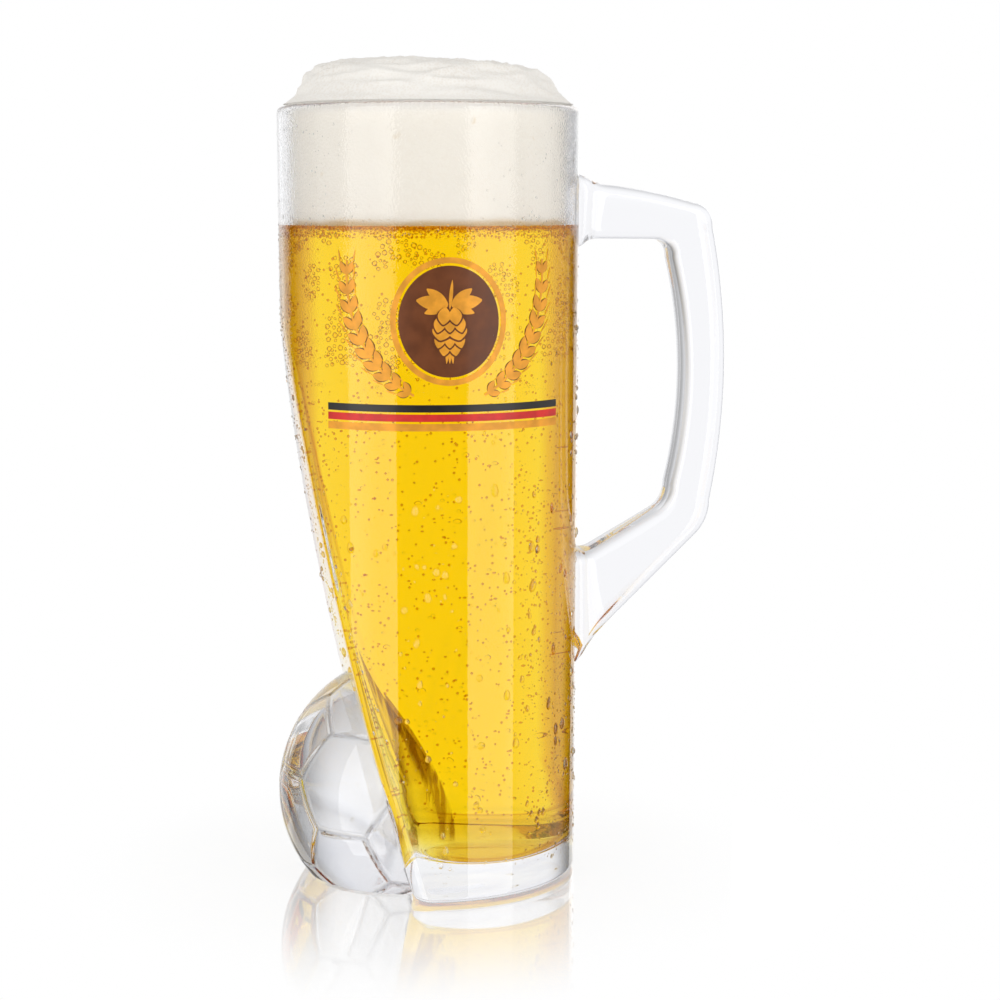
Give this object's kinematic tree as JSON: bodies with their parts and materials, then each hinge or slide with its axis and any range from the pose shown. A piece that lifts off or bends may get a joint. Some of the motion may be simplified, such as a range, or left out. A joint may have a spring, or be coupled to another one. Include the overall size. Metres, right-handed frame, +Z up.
{
  "type": "beer mug",
  "caption": "Tall glass beer mug with a slanted leg that leans on a glass football, a bent glass handle, a printed front, and beer under a head of foam.",
  "frame": {"origin": "on the bowl's axis, on the flat underside of the foot, at table level", "axes": "+Z up along the bowl's axis, +X towards the handle, -X towards the football, -Y towards the printed side"},
  "size_m": [0.1174, 0.0775, 0.2106],
  "materials": {
    "clear_glass": "polished",
    "beer": "gloss",
    "foam": "matte",
    "brown_enamel": "gloss",
    "gold_enamel": "gloss",
    "black_enamel": "gloss",
    "red_enamel": "gloss"
  },
  "bodies": {
    "root": {"mug_body": "clear_glass", "handle": "clear_glass", "football": "clear_glass", "beer": "beer", "foam_head": "foam", "medallion_ground": "brown_enamel", "medallion_ring": "gold_enamel", "barley_ear_left": "gold_enamel", "barley_ear_right": "gold_enamel", "stripe_black": "black_enamel", "stripe_red": "red_enamel", "stripe_gold": "gold_enamel"}
  },
  "joints": []
}
